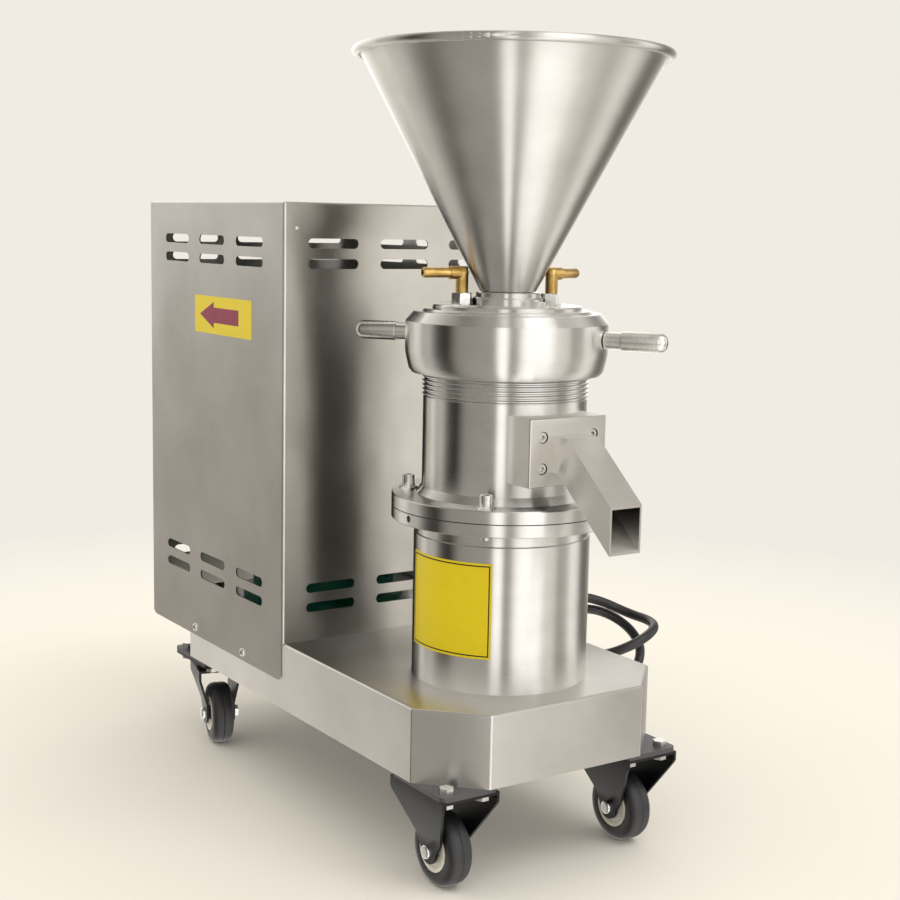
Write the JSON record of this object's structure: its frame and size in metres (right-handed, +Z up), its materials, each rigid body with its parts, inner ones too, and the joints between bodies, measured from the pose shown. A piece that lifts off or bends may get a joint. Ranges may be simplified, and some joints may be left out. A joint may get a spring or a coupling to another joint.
{
  "type": "peanut butter machine",
  "caption": "Upright belt driven colloid mill with a cone hopper, toothed rotor and stator, adjusting ring, square chute and a wheeled sheet steel base.",
  "frame": {"origin": "on the floor under the middle of the footprint, on the plane of symmetry through the head axis", "axes": "+Z up, -Y towards the outlet chute, +X to the operator's right when facing the chute's side from behind"},
  "size_m": [0.5029, 0.7594, 0.8268],
  "materials": {
    "base_sheet": "brushed stainless sheet",
    "deck_steel": "primed steel plate",
    "corner_steel": "grey painted plate",
    "zinc_fasteners": "bright zinc",
    "cover_sheet": "brushed stainless sheet",
    "motor_paint": "green enamel",
    "shaft_steel": "ground steel",
    "pulley_iron": "turned iron",
    "belt_rubber": "V belt rubber",
    "fan_plastic": "moulded",
    "turned_stainless": "turned stainless",
    "bearing_steel": "ground",
    "seal_carbon": "carbon face",
    "gasket": "nitrile sheet",
    "mill_teeth": "hardened stainless",
    "brass": "drawn brass",
    "hopper_sheet": "spun stainless",
    "castor_black": "black enamel",
    "wheel_rubber": "rubber tread",
    "gland_plastic": "moulded nylon",
    "cord_rubber": "rubber sheath",
    "plug_plastic": "moulded rubber plug"
  },
  "bodies": {
    "root": {"base_shell": "base_sheet", "deck_plate": "deck_steel", "corner_plates": "corner_steel", "castor_bolts": "zinc_fasteners", "motor_cover": "cover_sheet", "cover_screws": "zinc_fasteners", "motor_flange": "motor_paint", "motor_frame": "motor_paint", "motor_fan_cowl": "motor_paint", "motor_terminal_box": "motor_paint", "drive_belts": "belt_rubber", "bearing_housing": "turned_stainless", "deck_bolts": "zinc_fasteners", "bearing_outer_races": "bearing_steel", "upper_bearing_cap": "turned_stainless", "seal_seat": "seal_carbon", "flange_gasket": "gasket", "flange_washers": "zinc_fasteners", "flange_bolts": "zinc_fasteners", "mill_housing": "turned_stainless", "outlet_block": "turned_stainless", "outlet_screws": "zinc_fasteners", "discharge_chute": "base_sheet", "front_castor_brackets": "castor_black", "rear_castor_plates": "castor_black", "front_axles": "zinc_fasteners", "cord_gland": "gland_plastic", "cord_run": "cord_rubber", "cord_coil": "cord_rubber", "cord_plug": "plug_plastic"},
    "spindle": {"spindle": "shaft_steel", "mill_pulley": "pulley_iron", "pulley_nut": "zinc_fasteners", "bearing_inner_races": "bearing_steel", "seal_face": "bearing_steel", "rotor": "mill_teeth", "rotor_nut": "turned_stainless"},
    "motor_rotor": {"motor_shaft": "shaft_steel", "motor_cooling_fan": "fan_plastic", "motor_pulley": "pulley_iron"},
    "stator_head": {"stator": "mill_teeth", "stator_carrier": "turned_stainless", "throat_sleeve": "turned_stainless", "cover_plate": "turned_stainless", "cover_plate_bolts": "zinc_fasteners", "water_elbow_nuts": "zinc_fasteners", "water_elbows": "brass", "hopper_neck": "turned_stainless"},
    "ring": {"adjusting_ring": "turned_stainless", "ring_handle_rods": "turned_stainless", "ring_handle_grips": "turned_stainless"},
    "hopper": {"hopper": "hopper_sheet"},
    "front_wheel_left": {"front_wheel_left": "wheel_rubber"},
    "front_wheel_right": {"front_wheel_right": "wheel_rubber"},
    "rear_castor_left": {"rear_fork_left": "castor_black", "rear_axle_left": "zinc_fasteners"},
    "rear_castor_right": {"rear_fork_right": "castor_black", "rear_axle_right": "zinc_fasteners"},
    "rear_wheel_left": {"rear_wheel_left": "wheel_rubber"},
    "rear_wheel_right": {"rear_wheel_right": "wheel_rubber"}
  },
  "joints": [
    {"name": "stator_lift", "type": "slide", "parent": "root", "child": "stator_head", "axis": [0, 0, 1], "range_m": [-0.001, 0.0025]},
    {"name": "ring_turn", "type": "hinge", "parent": "stator_head", "child": "ring", "pos_m": [0, -0.1817, 0.54], "axis": [0, 0, 1], "range_deg": [-60, 180]},
    {"name": "hopper_lift", "type": "slide", "parent": "stator_head", "child": "hopper", "axis": [0, 0, 1], "range_m": [0, 0.1]},
    {"name": "motor_spin", "type": "hinge", "parent": "root", "child": "motor_rotor", "pos_m": [0, 0.1991, 0.3], "axis": [0, 0, 1], "continuous": true},
    {"name": "spindle_spin", "type": "hinge", "parent": "root", "child": "spindle", "pos_m": [0, -0.1817, 0.3], "axis": [0, 0, 1], "continuous": true},
    {"name": "front_wheel_left_roll", "type": "hinge", "parent": "root", "child": "front_wheel_left", "pos_m": [-0.115, -0.2542, 0.0375], "axis": [1, 0, 0], "continuous": true},
    {"name": "rear_castor_left_swivel", "type": "hinge", "parent": "root", "child": "rear_castor_left", "pos_m": [-0.115, 0.2734, 0.09], "axis": [0, 0, 1], "continuous": true},
    {"name": "rear_wheel_left_roll", "type": "hinge", "parent": "rear_castor_left", "child": "rear_wheel_left", "pos_m": [-0.12105, 0.24914, 0.0375], "axis": [0.9703, -0.2419, 0], "continuous": true},
    {"name": "front_wheel_right_roll", "type": "hinge", "parent": "root", "child": "front_wheel_right", "pos_m": [0.115, -0.2542, 0.0375], "axis": [1, 0, 0], "continuous": true},
    {"name": "rear_castor_right_swivel", "type": "hinge", "parent": "root", "child": "rear_castor_right", "pos_m": [0.115, 0.2734, 0.09], "axis": [0, 0, 1], "continuous": true},
    {"name": "rear_wheel_right_roll", "type": "hinge", "parent": "rear_castor_right", "child": "rear_wheel_right", "pos_m": [0.10895, 0.24914, 0.0375], "axis": [0.9703, -0.2419, 0], "continuous": true}
  ],
  "couplings": [
    {"joint": "stator_lift", "follows": "ring_turn", "m_per_rad": 0.0007162},
    {"joint": "spindle_spin", "follows": "motor_spin", "ratio": 1.1739}
  ]
}
